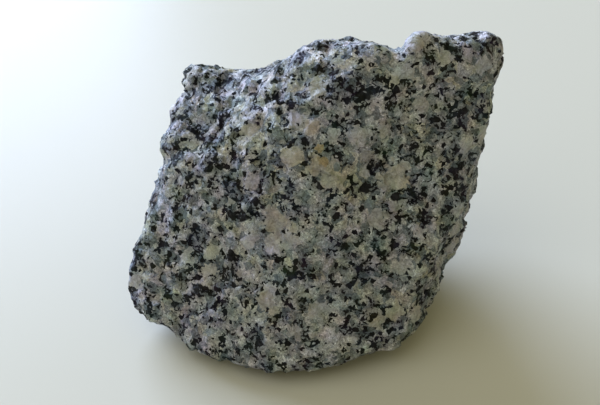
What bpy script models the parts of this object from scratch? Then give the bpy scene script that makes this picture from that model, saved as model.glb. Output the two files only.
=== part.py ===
"""A granite rock: one broken, hand-sized chunk of grey granite that rests on a small flat spot.

It is drawn in metres with +Z up. The broad broken front looks along -Y, the ridge runs along X
above it, and the origin is on the ground in the middle of the rock's box. The corners and scars
below are in millimetres, measured from about that origin.
"""

import bmesh
import bpy
from mathutils import Matrix, Vector, noise
from mathutils.bvhtree import BVHTree

MM = 0.001
UP = 2

# The driving sizes of the whole chunk, along X, Y and Z
WIDTH = 95.2
DEPTH = 71.0
HEIGHT = 75.4

# The heart of the chunk, which sees every part of its surface
CORE = (0, 5, 32)

# The grid that is wrapped round the chunk, how far its lines keep to a box's shape, and how far
# the broken edges and then the scars' edges are worn round
GRID_CUTS = 27
GRID_BOXINESS = 0.45
WEAR = 0.5
EDGE_WEAR_PASSES = 2
SCAR_WEAR_PASSES = 1

# Small flat breaks: their size, how steeply they tilt, the share of their size over which one
# runs into the next, and a number that shuffles the tilts
FACET_SIZE = 13.0
FACET_TILT = 0.3
FACET_RIM = 0.2
FACET_SHUFFLE = 7.3

# Rough lumps, as (size of a lump, height of a lump)
LUMPS = ((24.0, 0.7), (8.0, 0.4), (4.5, 0.5))

# Corners of the front, where three broken faces meet: upper left, lower left and right
FRONT_CORNERS = (
    (-1, -10, 58),
    (-12, -12, 47),
    (-36, -2, 41),
    (-38, -18, 16),
    (-6, -35.5, 14),
    (40.5, 5.7, 67),
    (37.2, -1.9, 51.2),
    (28.5, -18.2, 26.2),
    (24, -26.8, 14),
)

# Corners of the ridge along the top, from the left shoulder to the peak on the right
RIDGE_CORNERS = (
    (-33, 22.5, 58),
    (-27, 24.5, 59.5),
    (-15, 14, 60.5),
    (-5, 8, 67),
    (8, 4, 76),
    (15, 4, 77.2),
    (25, 6, 75.4),
    (33, 11.5, 73),
    (45.3, 18, 70.5),
    (49.6, 13, 69.9),
)

# Corners down the far edge of the flat right side, and round the edge under it
RIGHT_CORNERS = (
    (46, 16.5, 53.4),
    (45.9, 16, 43.4),
    (44.3, 15.5, 33),
    (43.2, 13, 20.5),
    (39, 4, 11),
    (33.5, -6, 5.8),
    (30, -15, 4.2),
)

# Corners down the left side
LEFT_CORNERS = (
    (-32.5, 16, 49),
    (-36.5, 8, 43),
    (-40.8, 0, 34),
    (-44.3, -5, 26),
    (-47.6, -13, 15),
    (-46.4, -14.4, 10),
    (-45.7, -18.2, 5.6),
)

# Corners round the edge of the foot, from the left by the front to the right and the back
FOOT_CORNERS = (
    (-37, -19.2, 6),
    (-31, -30.2, 3),
    (-13, -37.6, 3.6),
    (-5, -37.8, 3.6),
    (11, -34.3, 4.5),
    (21.5, -31, 5.4),
    (29.3, -21, 7),
    (28, 16, 6),
    (-3, 27, 6),
    (-34, 12, 6),
)

# Corners of the part that bears on the ground: what reaches below it is rubbed off flat
BEARING_CORNERS = (
    (14, -12, -1.2),
    (16, 4, -1.2),
    (10, 15, -1.2),
    (-4, 16, -1.2),
    (-15, 7, -1.2),
    (-16, -7, -1.2),
    (-9, -16, -1.2),
    (6, -18, -1.2),
)

# Corners of the back, which falls away steeply behind the ridge
BACK_CORNERS = (
    (-34, 26, 41),
    (-15, 31, 43),
    (11, 29, 52),
    (37, 30, 51),
    (43.5, 22, 40),
    (-40, 15, 20),
    (-25, 32, 20),
    (11, 35, 24),
    (35, 29, 22),
)

# Scars, as (middle, reach, push): stone is knocked out or left standing in the push's direction
SCARS = {
    "saddle beside the left shoulder": ((-18, 20, 59), (13, 22, 15), (0, -0.5, -6.4)),
    "dent under the left shoulder": ((-31, 19.5, 52), (7, 9, 6), (3.0, 0, 0)),
    "ridge over the front": ((-7, 17, 65), (11, 16, 11), (0, -0.4, -6.2)),
    "notch in the ridge": ((19.6, 13, 71), (6.5, 16, 12), (0, -0.6, -7.0)),
    "knob beside the notch": ((25, 9, 74), (7.6, 14, 10), (0, 1.2, 3.1)),
    "dip before the peak": ((34, 12, 72), (9, 14, 8), (0, 0, -1.8)),
    "upper right edge": ((46, 12, 59), (8, 12, 17), (-2.6, 0, 0)),
    "step in the left edge": ((-38, 6, 38), (6, 9, 5), (1.8, 0, 0)),
    "hollow in the left side": ((-42, 0, 28), (9, 16, 11), (0.8, 0, 0)),
    "bulge low on the left": ((-46, -11, 14), (10, 10, 8), (-2.0, 0, 0)),
    "undercut at the lower left": ((-39, -22, 4), (8, 8, 6), (0.4, 1.8, 1.4)),
    "ledge under the upper left face": ((-30, -3, 43), (10, 8, 6), (0, -0.8, 0.6)),
    "hollow over the ledge": ((-27, 3, 49), (9, 9, 8), (0.4, 0.2, -0.9)),
    "hollow in the lower left face": ((-22, -21, 28), (13, 13, 13), (0.3, 0.8, -0.3)),
    "scoop in the right face": ((18, -14, 40), (16, 16, 16), (-0.3, 1.0, -0.4)),
    "swell in the right face": ((6, -20, 36), (12, 12, 12), (0, -0.9, 0.3)),
    "scoop in the back": ((-8, 34, 34), (17, 17, 17), (0, -3.0, 0)),
    "chip from the back ridge": ((26, 27, 62), (11, 11, 11), (0, -2.0, -1.5)),
    "scoop in the left end": ((-44, 14, 30), (12, 12, 12), (2.0, 0, 0)),
    "chip from the right end": ((42, 29, 36), (11, 10, 13), (-3.0, 0, 0)),
}

STONE_GREY = (0.16, 0.165, 0.155, 1)
STONE_ROUGHNESS = 0.7


def clear_scene():
    for thing in list(bpy.data.objects):
        bpy.data.objects.remove(thing)


def broken_block():
    """The chunk as plain broken planes: the hull of its named corners."""
    upper = FRONT_CORNERS + RIDGE_CORNERS + RIGHT_CORNERS + LEFT_CORNERS + BACK_CORNERS
    block = bmesh.new()
    for corner in upper + FOOT_CORNERS + BEARING_CORNERS:
        block.verts.new(corner)
    bmesh.ops.convex_hull(block, input=block.verts)
    inner = [vert for vert in block.verts if not vert.link_faces]
    bmesh.ops.delete(block, geom=inner, context="VERTS")
    bmesh.ops.recalc_face_normals(block, faces=block.faces)
    return block


def wrapped_grid(block):
    """A grid of four-sided faces, shrunk from a rounded box onto the block."""
    core = Vector(CORE)
    box = Vector((WIDTH, DEPTH, HEIGHT))
    outside = box.length
    target = BVHTree.FromBMesh(block)
    grid = bmesh.new()
    bmesh.ops.create_cube(grid, size=2)
    bmesh.ops.subdivide_edges(grid, edges=grid.edges, cuts=GRID_CUTS, use_grid_fill=True)
    for vert in grid.verts:
        rounded = vert.co.normalized().lerp(vert.co, GRID_BOXINESS)
        ray = (rounded * box).normalized()
        vert.co = target.ray_cast(core + ray * outside, -ray)[0]
    return grid


def wear_round(rock, passes):
    for _ in range(passes):
        bmesh.ops.smooth_vert(
            rock, verts=rock.verts, factor=WEAR, use_axis_x=True, use_axis_y=True, use_axis_z=True
        )


def cut_scars(rock):
    """Push the stone round each scar, most at its middle and not at all at its rim."""
    for middle, reach, push in SCARS.values():
        for vert in rock.verts:
            away = sum(((vert.co[axis] - middle[axis]) / reach[axis]) ** 2 for axis in range(3))
            if away < 1:
                vert.co += Vector(push) * (1 - away) ** 2


def facet_rise(place):
    """Height of the small flat break that holds this place: each one is tilted its own way."""
    place = place / FACET_SIZE
    distances, middles = noise.voronoi(place)
    tilt = noise.cell_vector(middles[0] * FACET_SHUFFLE) - Vector((0.5, 0.5, 0.5))
    inside = min((distances[1] - distances[0]) / FACET_RIM, 1)
    return FACET_TILT * FACET_SIZE * inside * tilt.dot(place - middles[0])


def lump_rise(place):
    return sum(height * noise.noise(place / size) for size, height in LUMPS)


def roughen(rock):
    """Break the surface into small flats and lumps, as granite parts round its crystals."""
    rock.normal_update()
    rises = [facet_rise(vert.co) + lump_rise(vert.co) for vert in rock.verts]
    for vert, rise in zip(rock.verts, rises):
        vert.co += vert.normal * rise


def rub_flat_spot(rock):
    """Everything that would stand below the ground is rubbed off, which leaves one flat spot."""
    for vert in rock.verts:
        vert.co.z = max(vert.co.z, 0)


def fit_to_size(rock):
    """Bring the rock's box to its driving sizes, standing on the ground over the origin."""
    for axis, size in enumerate((WIDTH, DEPTH, HEIGHT)):
        places = [vert.co[axis] for vert in rock.verts]
        low = min(places)
        length = max(places) - low
        start = 0 if axis == UP else -size / 2
        for vert in rock.verts:
            vert.co[axis] = (vert.co[axis] - low) * size / length + start


def granite():
    material = bpy.data.materials.new("granite")
    material.use_nodes = True
    shader = material.node_tree.nodes["Principled BSDF"]
    shader.inputs["Base Color"].default_value = STONE_GREY
    shader.inputs["Roughness"].default_value = STONE_ROUGHNESS
    shader.inputs["Metallic"].default_value = 0
    return material


def main():
    clear_scene()
    block = broken_block()
    rock = wrapped_grid(block)
    block.free()
    wear_round(rock, EDGE_WEAR_PASSES)
    cut_scars(rock)
    wear_round(rock, SCAR_WEAR_PASSES)
    roughen(rock)
    rub_flat_spot(rock)
    fit_to_size(rock)
    bmesh.ops.transform(rock, matrix=Matrix.Scale(MM, 4), verts=rock.verts)
    mesh = bpy.data.meshes.new("granite_rock")
    rock.to_mesh(mesh)
    rock.free()
    mesh.shade_smooth()
    mesh.materials.append(granite())
    bpy.context.scene.collection.objects.link(bpy.data.objects.new("granite_rock", mesh))


main()
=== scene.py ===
# %% [markdown]
# # A broken piece of granite
#
# The object is one hand-sized chunk of grey granite, knocked off a larger block. Granite is cooled
# molten rock: pale feldspar, glassy grey quartz and black mica grew into each other as crystals a
# few millimetres wide. Breaking it leaves a rough skin where every crystal parts in its own way.
#
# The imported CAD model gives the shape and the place. This script dresses it in two steps: a finer
# skin with real crystal relief, and a stone material whose speckles are worked out in the solid, so
# that they run round every edge as they do in the real stone.

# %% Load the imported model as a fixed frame
import math

import bmesh
import bpy
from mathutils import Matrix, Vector


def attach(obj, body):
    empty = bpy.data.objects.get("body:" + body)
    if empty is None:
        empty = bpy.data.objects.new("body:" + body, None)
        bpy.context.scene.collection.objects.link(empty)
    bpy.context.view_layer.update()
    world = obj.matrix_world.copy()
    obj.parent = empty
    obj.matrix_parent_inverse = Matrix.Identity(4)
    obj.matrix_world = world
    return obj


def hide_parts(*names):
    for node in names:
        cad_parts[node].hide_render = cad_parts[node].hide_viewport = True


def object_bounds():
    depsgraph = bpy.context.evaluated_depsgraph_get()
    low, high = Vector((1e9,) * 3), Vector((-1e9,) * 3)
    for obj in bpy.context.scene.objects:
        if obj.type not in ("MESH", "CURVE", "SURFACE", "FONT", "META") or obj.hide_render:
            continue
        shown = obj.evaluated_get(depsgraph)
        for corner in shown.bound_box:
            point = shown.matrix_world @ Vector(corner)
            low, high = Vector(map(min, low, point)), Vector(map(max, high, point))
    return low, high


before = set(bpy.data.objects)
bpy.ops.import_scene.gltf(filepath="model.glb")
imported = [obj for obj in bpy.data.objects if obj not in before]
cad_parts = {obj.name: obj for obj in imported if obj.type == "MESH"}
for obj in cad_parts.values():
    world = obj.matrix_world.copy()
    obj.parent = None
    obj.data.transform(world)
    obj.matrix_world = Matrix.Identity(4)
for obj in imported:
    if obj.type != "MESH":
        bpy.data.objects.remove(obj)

# The frame is in metres, and the stone's sizes and places below are in millimetres
MM = 0.001
cad_low, cad_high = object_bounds()
cad_size = cad_high - cad_low
print("CAD box in mm:", [round(length / MM, 1) for length in cad_size])

# %% [markdown]
# ## The body of the rock
#
# The CAD solid has the outline, the three broken faces in front, the notched ridge and the ledges,
# in flat facets two or three millimetres wide. Stone has no such facets. It could be sculpted by
# hand, but a subdivision surface does the same job evenly: the loose triangles are merged, paired
# into four-sided faces, and each face is then split twice and rounded.

# %% Merge a copy of the CAD solid and pair its triangles
WELD = 0.001 * MM
PAIR_ANGLE = math.radians(60)


def paired_faces(node):
    """The node's shape as a closed mesh, mostly of four-sided faces."""
    shape = bmesh.new()
    shape.from_mesh(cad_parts[node].data)
    bmesh.ops.remove_doubles(shape, verts=shape.verts, dist=WELD)
    bmesh.ops.join_triangles(
        shape,
        faces=shape.faces,
        angle_face_threshold=PAIR_ANGLE,
        angle_shape_threshold=PAIR_ANGLE,
    )
    return shape


def bare_object(name, shape):
    """A new object at the origin that holds the shape and nothing else of where it came from."""
    mesh = bpy.data.meshes.new(name)
    shape.to_mesh(mesh)
    shape.free()
    for layer in ("custom_normal", "sharp_edge", "sharp_face"):
        if layer in mesh.attributes:
            mesh.attributes.remove(mesh.attributes[layer])
    thing = bpy.data.objects.new(name, mesh)
    bpy.context.scene.collection.objects.link(thing)
    return thing


rock = bare_object("granite_skin", paired_faces("granite_rock"))
print("paired faces:", len(rock.data.polygons))

# %% Round the facets
ROUNDINGS = 2

rounding = rock.modifiers.new("rounding", "SUBSURF")
rounding.levels = ROUNDINGS
rounding.render_levels = ROUNDINGS
print("each face is split", rounding.levels, "times")

# %% [markdown]
# ## The crystals, worked out in the solid
#
# A crystal pattern could be painted on, but it would smear at the edges and show a seam. Here it is
# a field in space: a Voronoi texture cuts space into cells, each cell is one crystal, and the rock's
# surface shows whatever it happens to cut through. The same nodes are used twice, in a geometry
# tree that moves the surface and in the material that colours it, so each crystal's relief and
# colour belong together.

# %% One small function that adds a node


def add(tree, kind, links=None, **settings):
    """Add a node, give it its settings, and link or set its inputs."""
    node = tree.nodes.new(kind)
    for name, value in settings.items():
        setattr(node, name, value)
    for socket, value in (links or {}).items():
        if isinstance(value, bpy.types.NodeSocket):
            tree.links.new(value, node.inputs[socket])
        else:
            node.inputs[socket].default_value = value
    return node


# %% How large the crystals are
# In the real stone the finest crystals go on below half a millimetre. They are drawn at half a
# millimetre, which is two pixels of the picture.
FELDSPAR_SIZE = 5.2
GRAIN_SIZE = 1.8
FLECK_SIZE = 1.15
FINE_SIZE = 0.5

FAMILIES = {
    "feldspar": FELDSPAR_SIZE,
    "grain": GRAIN_SIZE,
    "fleck": FLECK_SIZE,
    "fine": FINE_SIZE,
}
print("crystal sizes in mm:", FAMILIES)

# %% Borders that wander
# Voronoi cells have straight walls, but crystals that grow into each other have bent borders. Each
# bend is (its size, how far it goes). A noise runs from 0 to 1 round a middle of a half, and a soft
# one has a single finer layer.
BENDS = ((2.4, 0.8), (0.8, 0.22), (0.35, 0.1))
SOFT = 1.0
NOISE_MIDDLE = 0.5
COLOUR_MIDDLE = (NOISE_MIDDLE, NOISE_MIDDLE, NOISE_MIDDLE)


def wandering(tree, place):
    """The place, pushed about so that straight cell walls turn into grown crystal borders."""
    for size, reach in BENDS:
        cloud = add(tree, "ShaderNodeTexNoise", {"Vector": place, "Scale": 1 / size, "Detail": SOFT})
        offset = add(
            tree,
            "ShaderNodeVectorMath",
            {0: cloud.outputs["Color"], 1: COLOUR_MIDDLE},
            operation="SUBTRACT",
        )
        place = add(
            tree,
            "ShaderNodeVectorMath",
            {0: offset.outputs[0], 1: (2 * reach, 2 * reach, 2 * reach), 2: place},
            operation="MULTIPLY_ADD",
        ).outputs[0]
    return place


print("bends in every border:", len(BENDS))

# %% [markdown]
# ## Relief that follows the crystals
#
# Granite parts along and through its crystals, so every crystal ends in a small flat of its own
# tilt, with rough hollows between. A displacement picture could show that, but it would not fit the
# colours. Here each cell gets a random slope through its middle, and a geometry tree moves the skin
# along its normals by that height. This is real shape, so it also shows in the outline.

# %% Every crystal's own slope


def tilted_breaks(tree, place, size, tilt, height=0.0):
    """The height so far plus every crystal's own break: a random slope through its middle."""
    cells = add(tree, "ShaderNodeTexVoronoi", {"Vector": place, "Scale": 1 / size})
    way = add(
        tree, "ShaderNodeVectorMath", {0: place, 1: cells.outputs["Position"]}, operation="SUBTRACT"
    )
    slope = add(
        tree,
        "ShaderNodeVectorMath",
        {0: cells.outputs["Color"], 1: COLOUR_MIDDLE},
        operation="SUBTRACT",
    )
    rise = add(
        tree,
        "ShaderNodeVectorMath",
        {0: way.outputs[0], 1: slope.outputs[0]},
        operation="DOT_PRODUCT",
    )
    return add(
        tree,
        "ShaderNodeMath",
        {0: rise.outputs["Value"], 1: tilt, 2: height},
        operation="MULTIPLY_ADD",
    ).outputs[0]


# %% A geometry tree that knows every point's place in millimetres
relief_tree = bpy.data.node_groups.new("crystal_relief", "GeometryNodeTree")
relief_tree.interface.new_socket("Geometry", in_out="INPUT", socket_type="NodeSocketGeometry")
relief_tree.interface.new_socket("Geometry", in_out="OUTPUT", socket_type="NodeSocketGeometry")

relief_in = add(relief_tree, "NodeGroupInput")
relief_position = add(relief_tree, "GeometryNodeInputPosition")
relief_place = add(
    relief_tree,
    "ShaderNodeVectorMath",
    {0: relief_position.outputs[0], "Scale": 1 / MM},
    operation="SCALE",
).outputs[0]
relief_bent = wandering(relief_tree, relief_place)
print("nodes that place a point:", len(relief_tree.nodes))

# %% How high each crystal stands, in millimetres
FELDSPAR_TILT = 0.4
GRAIN_TILT = 0.3

relief_height = tilted_breaks(relief_tree, relief_bent, FELDSPAR_SIZE, FELDSPAR_TILT)
relief_height = tilted_breaks(relief_tree, relief_bent, GRAIN_SIZE, GRAIN_TILT, relief_height)
print("nodes with the breaks:", len(relief_tree.nodes))

# %% Rough lumps and hollows between the crystals, as (size, depth)
LUMPS = ((4.2, 0.7), (1.9, 0.45))

for size, depth in LUMPS:
    lumps = add(
        relief_tree, "ShaderNodeTexNoise", {"Vector": relief_place, "Scale": 1 / size, "Detail": SOFT}
    )
    centred = add(
        relief_tree,
        "ShaderNodeMath",
        {0: lumps.outputs["Fac"], 1: NOISE_MIDDLE},
        operation="SUBTRACT",
    )
    relief_height = add(
        relief_tree,
        "ShaderNodeMath",
        {0: centred.outputs[0], 1: 2 * depth, 2: relief_height},
        operation="MULTIPLY_ADD",
    ).outputs[0]
print("nodes with the lumps:", len(relief_tree.nodes))

# %% Move the skin along its normals
relief_metres = add(
    relief_tree, "ShaderNodeMath", {0: relief_height, 1: MM}, operation="MULTIPLY"
)
relief_normal = add(relief_tree, "GeometryNodeInputNormal")
relief_push = add(
    relief_tree,
    "ShaderNodeVectorMath",
    {0: relief_normal.outputs[0], "Scale": relief_metres.outputs[0]},
    operation="SCALE",
)
relief_set = add(
    relief_tree,
    "GeometryNodeSetPosition",
    {"Geometry": relief_in.outputs[0], "Offset": relief_push.outputs[0]},
)
add(relief_tree, "NodeGroupOutput", {0: relief_set.outputs[0]})

relief = rock.modifiers.new("relief", "NODES")
relief.node_group = relief_tree
print("steps on the rock:", [step.name for step in rock.modifiers])

# %% Apply both steps


def apply_modifiers(thing):
    """Keep the shape that the modifiers make, and take them off."""
    finished = bpy.data.meshes.new_from_object(
        thing.evaluated_get(bpy.context.evaluated_depsgraph_get())
    )
    thing.modifiers.clear()
    thing.data = finished


apply_modifiers(rock)
print("faces:", len(rock.data.polygons))

# %% Bring the skin back into the CAD box
# The relief may not pass the CAD solid's box. What it pushed below the ground is pressed flat, so
# that the rock still rests on its flat spot.


def fit_into(thing, low, size):
    """Stretch the skin by a hair along each axis, so that it just fills the box."""
    skin = bmesh.new()
    skin.from_mesh(thing.data)
    for vert in skin.verts:
        vert.co.z = max(vert.co.z, low.z)
    spans = [(min(v.co[a] for v in skin.verts), max(v.co[a] for v in skin.verts)) for a in range(3)]
    fit = [length / (high - first) for length, (first, high) in zip(size, spans)]
    start = Vector(first for first, high in spans)
    bmesh.ops.translate(skin, vec=-start, verts=skin.verts)
    bmesh.ops.scale(skin, vec=fit, verts=skin.verts)
    bmesh.ops.translate(skin, vec=low, verts=skin.verts)
    skin.to_mesh(thing.data)
    skin.free()
    return fit


stretch = fit_into(rock, cad_low, cad_size)
rock.data.shade_smooth()
print("stretch:", [round(value, 4) for value in stretch])

# %% [markdown]
# ## Small chips along the edges
#
# Where an edge has been knocked, a crystal or two has come off and the edge bites in. At the left
# shoulder one stands out instead. Such a chip could be cut out with a second solid, but that leaves
# a sharp rim. Pushing the skin softly keeps it one closed surface and its relief whole. The one
# push outwards is far from the sides of the box, so the box stays as it is.

# %% Chips, as (middle, reach, push)
# A chip moves the skin most at its middle and not at all at its rim.
CHIPS = {
    "beside the saddle": ((-12.8, 22.5, 57.5), (5.8, 9.0, 7.0), (0.0, -0.3, -2.0)),
    "beside the knob": ((20.8, 8.5, 73.0), (3.4, 7.0, 5.0), (0.0, -0.2, -2.2)),
    "right edge": ((46.0, 11.0, 43.5), (8.0, 13.0, 12.0), (-1.5, 0.0, 0.0)),
    "left shoulder": ((-33.0, 21.0, 56.0), (6.0, 8.0, 6.0), (-1.3, 0.0, 0.0)),
}


def chip(thing, middle, reach, push):
    """Move the skin round the chip's middle, and say how many points have moved."""
    moved = 0
    for vert in thing.data.vertices:
        away = sum(((vert.co[axis] / MM - middle[axis]) / reach[axis]) ** 2 for axis in range(3))
        if away < 1:
            vert.co += Vector(push) * MM * (1 - away) ** 2
            moved += 1
    return moved


for name, (middle, reach, push) in CHIPS.items():
    print("chip", name, "moved", chip(rock, middle, reach, push), "points")

# %% [markdown]
# ## The stone
#
# Granite is about half feldspar (milky, grey-white to cream), a third quartz (glassy grey) and a
# sixth biotite, a black mica that sits in ragged chains between the pale crystals. A fresh break is
# matt overall, with a small glint wherever a crystal face happens to catch the light.
#
# A photograph of granite would give this at once, but it would repeat, and it would have the light
# of its own day in it. Instead each mineral has a colour, and nodes decide which mineral is where.

# %% Colours of the minerals


def linear(hex_colour):
    """An sRGB hex colour as the linear RGBA that Blender's nodes work in."""
    channels = [int(hex_colour[i : i + 2], 16) / 255 for i in (1, 3, 5)]
    return tuple(
        [c / 12.92 if c <= 0.04045 else ((c + 0.055) / 1.055) ** 2.4 for c in channels] + [1.0]
    )


FELDSPAR_WHITE = linear("#BEC0C4")
FELDSPAR_GREY = linear("#A1A3A6")
FELDSPAR_CREAM = linear("#B4B3A9")
FELDSPAR_LILAC = linear("#ADACB4")
QUARTZ_PALE = linear("#92989C")
QUARTZ_DARK = linear("#697177")
SHADED_MICA = linear("#3D4A55")
MICA = linear("#0C0E12")
print("white feldspar, linear:", [round(value, 3) for value in FELDSPAR_WHITE[:3]])

# %% The material, named for what it is: granite, freshly broken
# Feldspar and quartz bend light by about 1.54. The gloss level is kept low, because the pits
# between the fine crystals swallow most glints: the eye sees a dry, matt stone.
GRANITE_IOR = 1.54
GRANITE_SPECULAR = 0.2

stone = bpy.data.materials.new("granite_freshly_broken")
stone.use_nodes = True
tree = stone.node_tree
shader = tree.nodes["Principled BSDF"]
shader.inputs["IOR"].default_value = GRANITE_IOR
shader.inputs["Specular IOR Level"].default_value = GRANITE_SPECULAR

stone_object = add(tree, "ShaderNodeTexCoord")
stone_place = add(
    tree,
    "ShaderNodeVectorMath",
    {0: stone_object.outputs["Object"], "Scale": 1 / MM},
    operation="SCALE",
).outputs[0]
stone_bent = wandering(tree, stone_place)
print("nodes that place a speck:", len(tree.nodes))

# %% Three random numbers for every crystal
# A Voronoi cell has a random colour. Its red, green and blue are used as three draws from 0 to 1.
cells = {}
draws = {}
for family, size in FAMILIES.items():
    cells[family] = add(tree, "ShaderNodeTexVoronoi", {"Vector": stone_bent, "Scale": 1 / size})
    draws[family] = add(tree, "ShaderNodeSeparateColor", {0: cells[family].outputs["Color"]}).outputs
print("families of crystals:", list(cells))

# %% [markdown]
# ## Crystals that stand out
#
# A stone is known by its few large crystals: here a patch of clean feldspar high on the front, with
# a rust stain where iron has weathered out, a second one to its right, and dark stacks of mica.
# Random cells would put such crystals anywhere. So these are listed one by one, and each is a ball
# in the solid. The same bent space that shapes all other crystals makes their borders ragged.

# %% Their minerals
# Clean and dull feldspar, feldspar stained by iron, bluish quartz, and the dark stacks of mica
# sheets that are called books
LARGE_FELDSPAR = linear("#B5B1AB")
DULL_FELDSPAR = linear("#A6A4A1")
STAINED_FELDSPAR = linear("#A89880")
BLUISH_QUARTZ = linear("#838E9A")
MICA_BOOK = linear("#16161A")
print("mica book, linear:", [round(value, 3) for value in MICA_BOOK[:3]])

# %% Pale crystals, as (middle, radius, mineral)
# They keep the mica out.
PALE_CRYSTALS = (
    ((0.0, -7.2, 59.5), 1.8, LARGE_FELDSPAR),
    ((1.2, -12.8, 52.2), 2.2, LARGE_FELDSPAR),
    ((4.3, -12.6, 49.2), 2.6, LARGE_FELDSPAR),
    ((6.7, -13.5, 48.5), 2.0, LARGE_FELDSPAR),
    ((2.9, -11.3, 52.8), 1.3, STAINED_FELDSPAR),
    ((1.9, -10.4, 56.0), 1.1, STAINED_FELDSPAR),
    ((5.8, -11.7, 51.0), 1.1, BLUISH_QUARTZ),
    ((20.5, -8.9, 46.0), 3.2, LARGE_FELDSPAR),
    ((18.5, -10.1, 45.2), 2.0, DULL_FELDSPAR),
    ((22.6, -7.3, 47.9), 1.0, LARGE_FELDSPAR),
    ((22.4, -8.9, 46.3), 1.0, DULL_FELDSPAR),
    ((13.0, -8.7, 51.8), 1.6, DULL_FELDSPAR),
    ((13.9, -13.6, 41.1), 1.5, BLUISH_QUARTZ),
    ((-17.6, -20.5, 24.9), 1.0, DULL_FELDSPAR),
    ((-8.6, -17.1, 38.3), 3.0, DULL_FELDSPAR),
    ((-11.4, -26.9, 21.5), 2.0, DULL_FELDSPAR),
    ((24.9, 6.4, 74.2), 2.2, DULL_FELDSPAR),
)
print("pale crystals:", len(PALE_CRYSTALS))

# %% Mica books, as (middle, radius)
# They lie over everything else.
MICA_BOOKS = (
    ((6.0, -9.7, 53.7), 1.3),
    ((13.1, -11.2, 44.1), 1.8),
    ((14.1, -8.1, 48.5), 1.0),
    ((12.2, -14.8, 40.9), 0.8),
    ((20.5, -11.6, 41.9), 1.1),
    ((24.7, -5.1, 52.3), 1.5),
    ((-19.9, -17.8, 28.1), 1.5),
    ((-28.3, -20.3, 19.6), 1.5),
    ((-17.0, -14.4, 37.9), 1.6),
    ((5.6, -22.5, 29.2), 0.8),
)
print("mica books:", len(MICA_BOOKS))

# %% Bays in their borders
# Feldspar ends in bays and corners, not in a round border. A noise stretches or shortens the way to
# a crystal's middle, by these shares. Most of a noise lies between 0.3 and 0.7.
BAY_SIZE = 2.0
BAY_DETAIL = 2.0
BAY_LEAST = 0.58
BAY_MOST = 1.4
NOISE_LOW = 0.3
NOISE_HIGH = 0.7

bay_cloud = add(
    tree, "ShaderNodeTexNoise", {"Vector": stone_place, "Scale": 1 / BAY_SIZE, "Detail": BAY_DETAIL}
)
bays = add(
    tree,
    "ShaderNodeMapRange",
    {
        "Value": bay_cloud.outputs["Fac"],
        "From Min": NOISE_LOW,
        "From Max": NOISE_HIGH,
        "To Min": BAY_LEAST,
        "To Max": BAY_MOST,
    },
).outputs[0]
print("a way to a middle is stretched", BAY_LEAST, "to", BAY_MOST, "times")

# %% One inside a crystal and nothing outside
# The share of a crystal's radius over which it fades, on either side of its border
CRYSTAL_RIM = 0.12


def inside(middle, radius):
    """How far a place in the stone is inside the crystal: one inside, zero outside."""
    way = add(tree, "ShaderNodeVectorMath", {0: stone_bent, 1: middle}, operation="DISTANCE")
    way = add(tree, "ShaderNodeMath", {0: way.outputs["Value"], 1: bays}, operation="MULTIPLY")
    return add(
        tree,
        "ShaderNodeMapRange",
        {
            "Value": way.outputs[0],
            "From Min": radius * (1 + CRYSTAL_RIM),
            "From Max": radius * (1 - CRYSTAL_RIM),
        },
    ).outputs[0]


pale_insides = [inside(middle, radius) for middle, radius, mineral in PALE_CRYSTALS]
book_insides = [inside(middle, radius) for middle, radius in MICA_BOOKS]
print("nodes with the crystals that stand out:", len(tree.nodes))

# %% [markdown]
# ## Clean feldspar
#
# Some large feldspars grew undisturbed, so no mica got into them. They show as milky patches in the
# speckled stone. The pattern could simply be thinned there, but a real crystal has a border. So one
# feldspar cell in five is clean as far as its core reaches, and so are the pale crystals above.

# %% Where the large feldspars are clean
CLEAN_SHARE = 0.2

# How far a clean core reaches, as a share of the size of a feldspar
CLEAN_CORE = 0.5

clean_drawn = add(
    tree, "ShaderNodeMath", {0: draws["feldspar"]["Red"], 1: CLEAN_SHARE}, operation="LESS_THAN"
)
core_way = add(
    tree,
    "ShaderNodeMath",
    {0: cells["feldspar"].outputs["Distance"], 1: bays},
    operation="MULTIPLY",
)
core = add(
    tree, "ShaderNodeMath", {0: core_way.outputs[0], 1: CLEAN_CORE}, operation="LESS_THAN"
)
clean = add(
    tree, "ShaderNodeMath", {0: clean_drawn.outputs[0], 1: core.outputs[0]}, operation="MULTIPLY"
).outputs[0]
for pale_inside in pale_insides:
    clean = add(tree, "ShaderNodeMath", {0: clean, 1: pale_inside}, operation="MAXIMUM").outputs[0]
elsewhere = add(tree, "ShaderNodeMath", {0: 1.0, 1: clean}, operation="SUBTRACT").outputs[0]
print("share of the feldspars that is clean:", CLEAN_SHARE)

# %% [markdown]
# ## Black mica
#
# The flakes of biotite gather in ragged chains and knots between the pale crystals. Evenly strewn
# dots would look like printed stone. So a noise first says where a chain runs, and a wider noise
# says where the rock holds more or less of it. Only then does each small cell draw whether it is
# mica, with a far better chance inside a chain.

# %% Where the chains run
# Where a chain starts and where it is full are the noise's own values. Zones about a centimetre
# wide thin the chains out where the zones' noise is high, hence the minus.
CHAIN_SIZE = 3.6
CHAIN_DETAIL = 1.5
CHAIN_START = 0.42
CHAIN_FULL = 0.66
ZONE_SIZE = 9.0
ZONE_SHARE = -0.5

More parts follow.
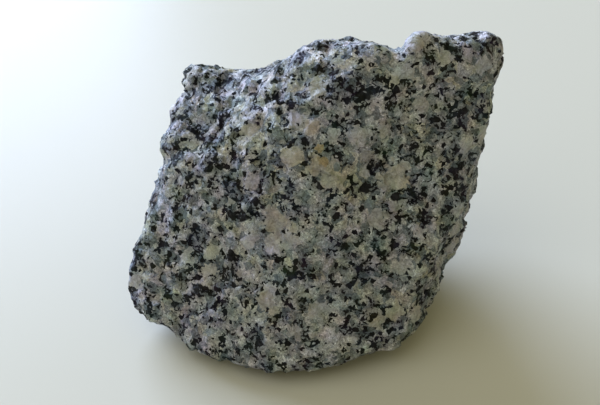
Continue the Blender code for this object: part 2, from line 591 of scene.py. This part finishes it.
chains = add(
    tree,
    "ShaderNodeTexNoise",
    {"Vector": stone_bent, "Scale": 1 / CHAIN_SIZE, "Detail": CHAIN_DETAIL},
)
zones = add(
    tree, "ShaderNodeTexNoise", {"Vector": stone_place, "Scale": 1 / ZONE_SIZE, "Detail": SOFT}
)
zone_way = add(
    tree, "ShaderNodeMath", {0: zones.outputs["Fac"], 1: NOISE_MIDDLE}, operation="SUBTRACT"
)
chain_strength = add(
    tree,
    "ShaderNodeMath",
    {0: zone_way.outputs[0], 1: ZONE_SHARE, 2: chains.outputs["Fac"]},
    operation="MULTIPLY_ADD",
)
chain_depth = add(
    tree,
    "ShaderNodeMapRange",
    {"Value": chain_strength.outputs[0], "From Min": CHAIN_START, "From Max": CHAIN_FULL},
)
chain_here = add(
    tree, "ShaderNodeMath", {0: chain_depth.outputs[0], 1: elsewhere}, operation="MULTIPLY"
).outputs[0]
print("nodes with the chains:", len(tree.nodes))

# %% Flecks of mica, and crumbs round them
# The chance that a cell is mica, as (outside a chain, in its middle)
FLECKS = (0.08, 0.57)
CRUMBS = (0.015, 0.13)

mica = 0.0
for family, (least, most) in (("fleck", FLECKS), ("fine", CRUMBS)):
    chance = add(
        tree, "ShaderNodeMapRange", {"Value": chain_here, "To Min": least, "To Max": most}
    )
    drawn = add(
        tree,
        "ShaderNodeMath",
        {0: draws[family]["Red"], 1: chance.outputs[0]},
        operation="LESS_THAN",
    )
    mica = add(
        tree, "ShaderNodeMath", {0: drawn.outputs[0], 1: mica}, operation="MAXIMUM"
    ).outputs[0]
print("nodes with the flecks:", len(tree.nodes))

# %% Pale crumbs inside the flecks
# The share of a fleck that stays mica: the rest is pale, so that no fleck is one smooth blot
MICA_LEFT = 0.93

unbroken = add(
    tree, "ShaderNodeMath", {0: draws["fine"]["Red"], 1: MICA_LEFT}, operation="LESS_THAN"
)
mica = add(
    tree, "ShaderNodeMath", {0: unbroken.outputs[0], 1: mica}, operation="MULTIPLY"
).outputs[0]
mica = add(tree, "ShaderNodeMath", {0: mica, 1: elsewhere}, operation="MULTIPLY").outputs[0]
print("share of a fleck that is pale:", round(1 - MICA_LEFT, 2))

# %% [markdown]
# ## The pale ground
#
# Between the mica lie feldspar, from grey to white with a cream or lilac cast, and quartz, which
# lets light in and so looks darker and cooler. One even grey would look like concrete. So every
# grain draws its own shade, every large feldspar its own cast, and a third of the grains is quartz.

# %% Feldspar's own colours
# A Mix node has sockets for several kinds of value. For colours they are its share, the two colours
# and the mixed one.
MIX_SHARE = 0
MIX_FROM = 6
MIX_TO = 7
MIXED = 2

# From this draw upwards, a large feldspar has the cast, and the more so the higher it drew
CREAM_START = 0.5
LILAC_START = 0.6

ground = add(
    tree,
    "ShaderNodeMix",
    {MIX_SHARE: draws["grain"]["Green"], MIX_FROM: FELDSPAR_GREY, MIX_TO: FELDSPAR_WHITE},
    data_type="RGBA",
).outputs[MIXED]
for draw, start, cast in (
    ("Green", CREAM_START, FELDSPAR_CREAM),
    ("Blue", LILAC_START, FELDSPAR_LILAC),
):
    strength = add(
        tree, "ShaderNodeMapRange", {"Value": draws["feldspar"][draw], "From Min": start}
    )
    ground = add(
        tree,
        "ShaderNodeMix",
        {MIX_SHARE: strength.outputs[0], MIX_FROM: ground, MIX_TO: cast},
        data_type="RGBA",
    ).outputs[MIXED]
print("nodes with the feldspar:", len(tree.nodes))

# %% Quartz between them
QUARTZ_SHARE = 0.34

quartz = add(
    tree,
    "ShaderNodeMix",
    {MIX_SHARE: draws["grain"]["Green"], MIX_FROM: QUARTZ_DARK, MIX_TO: QUARTZ_PALE},
    data_type="RGBA",
)
quartz_drawn = add(
    tree, "ShaderNodeMath", {0: draws["grain"]["Blue"], 1: QUARTZ_SHARE}, operation="LESS_THAN"
)
quartz_here = add(
    tree, "ShaderNodeMath", {0: quartz_drawn.outputs[0], 1: elsewhere}, operation="MULTIPLY"
)
ground = add(
    tree,
    "ShaderNodeMix",
    {MIX_SHARE: quartz_here.outputs[0], MIX_FROM: ground, MIX_TO: quartz.outputs[MIXED]},
    data_type="RGBA",
).outputs[MIXED]
print("nodes with the quartz:", len(tree.nodes))

# %% Mica that shows through, and the crystals that stand out
# In the middle of a chain, mica just under the surface darkens the pale grains by this share
SHADE_MOST = 0.62

shade = add(tree, "ShaderNodeMath", {0: chain_here, 1: SHADE_MOST}, operation="MULTIPLY")
ground = add(
    tree,
    "ShaderNodeMix",
    {MIX_SHARE: shade.outputs[0], MIX_FROM: ground, MIX_TO: SHADED_MICA},
    data_type="RGBA",
).outputs[MIXED]
for pale_inside, (middle, radius, mineral) in zip(pale_insides, PALE_CRYSTALS):
    ground = add(
        tree,
        "ShaderNodeMix",
        {MIX_SHARE: pale_inside, MIX_FROM: ground, MIX_TO: mineral},
        data_type="RGBA",
    ).outputs[MIXED]
print("nodes with the pale ground:", len(tree.nodes))

# %% [markdown]
# ## Painted sparkle of the fine crystals inside every grain
#
# From close by, a broken grain sparkles, because it splits into many small faces, and each sends
# back more or less of the light. The mesh is too coarse for them, so that light and shade is
# painted: every fine cell keeps more or less of its grain's colour, and two noises make the painted
# sparkle livelier still.

# %% Painted sparkle: the share of the colour that each fine crystal keeps
PAINTED_SPARKLE_LEAST = 0.62
PAINTED_SPARKLE_MOST = 1.33

# Clouds over them, as (size, least share, most share)
MOTTLES = ((1.3, 0.85, 1.15), (0.28, 0.55, 1.45))
MOTTLE_DETAIL = 2.0
MOTTLE_ROUGHNESS = 0.6

# Painted sparkle: light and shade of the fine crystal faces, painted as a share of the colour
painted_sparkle = add(
    tree,
    "ShaderNodeMapRange",
    {"Value": draws["fine"]["Green"], "To Min": PAINTED_SPARKLE_LEAST, "To Max": PAINTED_SPARKLE_MOST},
).outputs[0]
for size, least, most in MOTTLES:
    mottle = add(
        tree,
        "ShaderNodeTexNoise",
        {
            "Vector": stone_place,
            "Scale": 1 / size,
            "Detail": MOTTLE_DETAIL,
            "Roughness": MOTTLE_ROUGHNESS,
        },
    )
    share = add(
        tree,
        "ShaderNodeMapRange",
        {
            "Value": mottle.outputs["Fac"],
            "From Min": NOISE_LOW,
            "From Max": NOISE_HIGH,
            "To Min": least,
            "To Max": most,
        },
    )
    painted_sparkle = add(
        tree, "ShaderNodeMath", {0: painted_sparkle, 1: share.outputs[0]}, operation="MULTIPLY"
    ).outputs[0]
print("nodes with the fine crystals:", len(tree.nodes))

# %% Clean feldspar is quieter: it gets less painted sparkle
# The share of the painted sparkle which is left in a clean feldspar
CLEAN_LEFT = 0.4

liveliness = add(
    tree, "ShaderNodeMapRange", {"Value": clean, "To Min": 1.0, "To Max": CLEAN_LEFT}
)
painted_sparkle = add(
    tree, "ShaderNodeMapRange", {"Value": liveliness.outputs[0], "To Min": 1.0, "To Max": painted_sparkle}
).outputs[0]
# The painted sparkle brightens or darkens the ground's colour
ground = add(
    tree, "ShaderNodeVectorMath", {0: ground, "Scale": painted_sparkle}, operation="SCALE"
).outputs[0]
print("liveliness left in clean feldspar:", CLEAN_LEFT)

# %% [markdown]
# ## Faint tints, and the colour of the mica with a painted sheen
#
# Traces of iron and of altered minerals give patches of granite a faint green, lilac or olive cast.
# They could be painted patches, but those have rims. A noise has three channels that wander on
# their own, so one soft noise tints red, green and blue a little each. Mica is nearly black and
# takes the same tint more strongly. Its flakes lie at all slopes, so some send back more light than
# others: that sheen is painted, so some flakes are grey, others black.

# %% Tinted clouds
# How strongly red, green and blue wander, for the pale ground and for the mica
TINT_SIZE = 4.6
GROUND_TINT = (0.33, 0.26, 0.56)
MICA_TINT = (3.0, 3.0, 4.0)
UNCHANGED = (1.0, 1.0, 1.0)

tint_cloud = add(
    tree, "ShaderNodeTexNoise", {"Vector": stone_bent, "Scale": 1 / TINT_SIZE, "Detail": SOFT}
)
tint_way = add(
    tree,
    "ShaderNodeVectorMath",
    {0: tint_cloud.outputs["Color"], 1: COLOUR_MIDDLE},
    operation="SUBTRACT",
)
tinted = []
for colour, strengths in ((ground, GROUND_TINT), (MICA[:3], MICA_TINT)):
    tint = add(
        tree,
        "ShaderNodeVectorMath",
        {0: tint_way.outputs[0], 1: strengths, 2: UNCHANGED},
        operation="MULTIPLY_ADD",
    )
    tinted.append(
        add(
            tree, "ShaderNodeVectorMath", {0: tint.outputs[0], 1: colour}, operation="MULTIPLY"
        ).outputs[0]
    )
tinted_ground, tinted_mica = tinted
print("tinted colours:", len(tinted))

# %% Grey and black flakes: a painted sheen
# The share of mica's colour that the darkest and the lightest flake has: a painted sheen of flakes
# at all slopes
FLAKE_SHEEN_LEAST = 0.35
FLAKE_SHEEN_MOST = 3.0

painted_flake_sheen = add(
    tree,
    "ShaderNodeMapRange",
    {"Value": draws["fleck"]["Green"], "To Min": FLAKE_SHEEN_LEAST, "To Max": FLAKE_SHEEN_MOST},
)
# Painted sheen: each flake's mica colour is scaled up or down at random
mica_with_painted_sheen = add(
    tree,
    "ShaderNodeVectorMath",
    {0: tinted_mica, "Scale": painted_flake_sheen.outputs[0]},
    operation="SCALE",
)
colour = add(
    tree,
    "ShaderNodeMix",
    {MIX_SHARE: mica, MIX_FROM: tinted_ground, MIX_TO: mica_with_painted_sheen.outputs[0]},
    data_type="RGBA",
).outputs[MIXED]
print("flakes have", FLAKE_SHEEN_LEAST, "to", FLAKE_SHEEN_MOST, "times mica's colour")

# %% Mica books over everything else
# The share of a book that pale crumbs leave whole
BOOK_LEFT = 0.85

whole = add(
    tree, "ShaderNodeMath", {0: draws["fine"]["Blue"], 1: BOOK_LEFT}, operation="LESS_THAN"
)
for book_inside in book_insides:
    book_share = add(
        tree, "ShaderNodeMath", {0: book_inside, 1: whole.outputs[0]}, operation="MULTIPLY"
    )
    colour = add(
        tree,
        "ShaderNodeMix",
        {MIX_SHARE: book_share.outputs[0], MIX_FROM: colour, MIX_TO: MICA_BOOK},
        data_type="RGBA",
    ).outputs[MIXED]
tree.links.new(colour, shader.inputs["Base Color"])
print("nodes with all colours:", len(tree.nodes))

# %% [markdown]
# ## Gloss and the finest relief
#
# A crystal that split cleanly is smooth and glints, and one that crumbled is matt. Each fine
# crystal also lies at its own slope. Both are too fine for the mesh, so they are left to the
# shader: a roughness that each fine crystal draws, and a bump of the same tilted breaks as above.

# %% Some crystal faces are cleaner than others
ROUGHNESS_LEAST = 0.3
ROUGHNESS_MOST = 0.75

gloss = add(
    tree,
    "ShaderNodeMapRange",
    {"Value": draws["fine"]["Blue"], "To Min": ROUGHNESS_LEAST, "To Max": ROUGHNESS_MOST},
)
tree.links.new(gloss.outputs[0], shader.inputs["Roughness"])
print("roughness from", ROUGHNESS_LEAST, "to", ROUGHNESS_MOST)

# %% Every fleck and every fine crystal breaks at its own slope
FLECK_TILT = 0.6
FINE_TILT = 0.9

fine_height = tilted_breaks(tree, stone_bent, FLECK_SIZE, FLECK_TILT)
fine_height = tilted_breaks(tree, stone_bent, FINE_SIZE, FINE_TILT, fine_height)
bump = add(tree, "ShaderNodeBump", {"Height": fine_height, "Distance": MM})
tree.links.new(bump.outputs[0], shader.inputs["Normal"])
print("nodes in the stone:", len(tree.nodes))

# %% [markdown]
# ## Hand the rock to the frame
#
# The rock is one natural piece, so one dressed piece rides on the root, and the one CAD node that it
# stands for is hidden.

# %% Dress the rock, hang it on the root and hide the CAD node
rock.data.materials.clear()
rock.data.materials.append(stone)
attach(rock, "root")
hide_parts("granite_rock")
print("dressed:", rock.name, "with", stone.name)

# %% [markdown]
# ## Floor, light and camera
#
# The rock stands on a plain pale board. One large cool key light stands behind it on the left, so
# that the top and the left side are bright and a soft shadow falls to the right. A faint cool fill
# light from high on the left and a weak warm light from all round lift the front. A small lamp
# would be simpler, but its shadow would be hard and the front of the rock nearly black.
#
# Places and sizes of the stage are in metres. The camera looks down at the front of the rock from
# forty degrees, through a slightly long lens.

# %% The floor
# A board with a faint sheen. To the eye it grows brighter towards the key light.
FLOOR_HALF = 2.0
FLOOR_PALE = linear("#CAC8BC")
FLOOR_ROUGHNESS = 0.28
FLOOR_SPECULAR = 0.14

floor_shape = bmesh.new()
bmesh.ops.create_grid(floor_shape, x_segments=1, y_segments=1, size=FLOOR_HALF)
floor = bare_object("floor", floor_shape)
board = bpy.data.materials.new("pale_board_with_a_faint_sheen")
board.use_nodes = True
board_shader = board.node_tree.nodes["Principled BSDF"]
board_shader.inputs["Base Color"].default_value = FLOOR_PALE
board_shader.inputs["Roughness"].default_value = FLOOR_ROUGHNESS
board_shader.inputs["Specular IOR Level"].default_value = FLOOR_SPECULAR
floor.data.materials.append(board)
print("floor in m:", [round(length, 2) for length in floor.dimensions])

# %% The key light and the fill light
ROCK_MIDDLE = Vector((0, 0, 30)) * MM
KEY_PLACE = Vector((-1.10, 1.56, 0.93))
KEY_SIZE = (1.8, 1.2)
KEY_POWER = 106.0
KEY_COLOUR = (0.61, 0.725, 1.0)
FILL_PLACE = Vector((-1.1, -0.4, 1.7))
FILL_SIZE = (2.0, 2.0)
FILL_POWER = 12.0
FILL_COLOUR = (0.88, 0.92, 1.0)


def look_at(thing, place, target):
    """Set a light or camera down at a place, facing the target."""
    thing.location = place
    thing.rotation_euler = (target - place).to_track_quat("-Z", "Y").to_euler()


def soft_light(name, place, size, power, colour):
    """A glowing rectangle that faces the rock."""
    light = bpy.data.lights.new(name, "AREA")
    light.shape = "RECTANGLE"
    light.size, light.size_y = size
    light.energy = power
    light.color = colour
    lamp = bpy.data.objects.new(name, light)
    bpy.context.scene.collection.objects.link(lamp)
    look_at(lamp, place, ROCK_MIDDLE)
    return lamp


key_light = soft_light("key", KEY_PLACE, KEY_SIZE, KEY_POWER, KEY_COLOUR)
fill_light = soft_light("fill", FILL_PLACE, FILL_SIZE, FILL_POWER, FILL_COLOUR)
for lamp in (key_light, fill_light):
    print(lamp.name, "stands", round((lamp.location - ROCK_MIDDLE).length, 2), "m away")

# %% The weak warm light from all round
SURROUND_COLOUR = (1.0, 0.935, 0.57, 1.0)
SURROUND_STRENGTH = 0.39

surround = bpy.data.worlds.new("surround")
surround.use_nodes = True
surround.node_tree.nodes["Background"].inputs["Color"].default_value = SURROUND_COLOUR
surround.node_tree.nodes["Background"].inputs["Strength"].default_value = SURROUND_STRENGTH
bpy.context.scene.world = surround
print("strength of the light from all round:", SURROUND_STRENGTH)

# %% The camera
CAMERA_TARGET = Vector((-2.83, -3.24, 33.0)) * MM
CAMERA_DISTANCE = 296 * MM
CAMERA_ELEVATION = math.radians(40)
LENS_LENGTH = 70.0
SENSOR_WIDTH = 36.0

camera_data = bpy.data.cameras.new("camera")
camera_data.lens = LENS_LENGTH
camera_data.sensor_width = SENSOR_WIDTH
camera = bpy.data.objects.new("camera", camera_data)
bpy.context.scene.collection.objects.link(camera)
backwards = Vector((0, -math.cos(CAMERA_ELEVATION), math.sin(CAMERA_ELEVATION)))
look_at(camera, CAMERA_TARGET + backwards * CAMERA_DISTANCE, CAMERA_TARGET)
bpy.context.scene.camera = camera
bpy.context.scene.view_settings.view_transform = "Standard"
print("camera height in mm:", round(camera.location.z / MM, 1))
